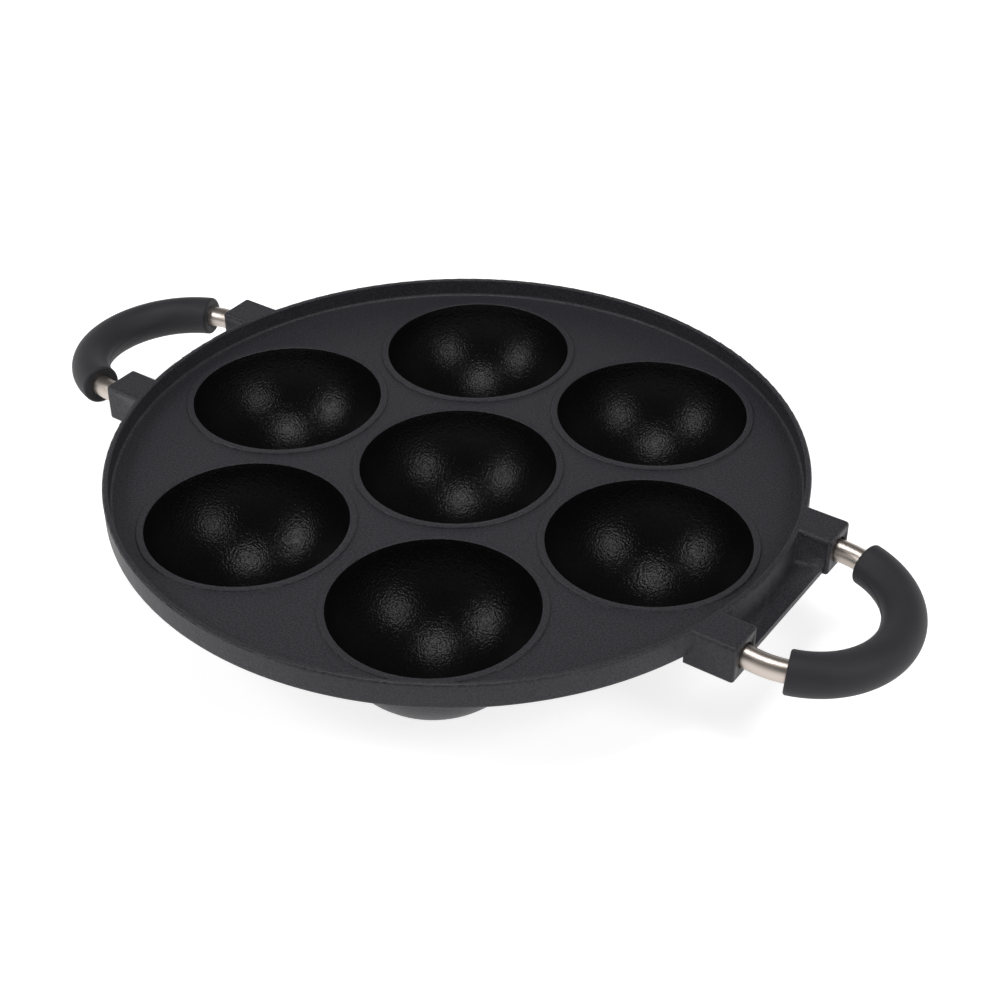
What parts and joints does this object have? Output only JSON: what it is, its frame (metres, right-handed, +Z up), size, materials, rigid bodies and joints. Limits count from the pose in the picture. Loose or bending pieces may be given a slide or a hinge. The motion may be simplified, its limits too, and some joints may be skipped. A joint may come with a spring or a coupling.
{
  "type": "takoyaki pan",
  "caption": "Round cast pan with deep hemispherical cups in a shallow rimmed plate, and two looped rod handles in rubber sleeves held by cast lugs.",
  "frame": {"origin": "under the middle of the centre cup, on the face that the pan rests on", "axes": "+X through both handles, towards the right one; +Z up, out of the cups"},
  "size_m": [0.3616, 0.255, 0.0413],
  "materials": {
    "pan_coating": "cast aluminium under a satin black non-stick coating",
    "handle_steel": "brushed stainless steel bar",
    "sleeve_rubber": "matte dark grey silicone rubber",
    "screw_steel": "dark steel set screw"
  },
  "bodies": {
    "root": {"pan_body": "pan_coating", "right_handle_rod": "handle_steel", "left_handle_rod": "handle_steel", "right_handle_sleeve": "sleeve_rubber", "left_handle_sleeve": "sleeve_rubber", "right_near_set_screw": "screw_steel", "right_far_set_screw": "screw_steel", "left_near_set_screw": "screw_steel", "left_far_set_screw": "screw_steel"}
  },
  "joints": []
}
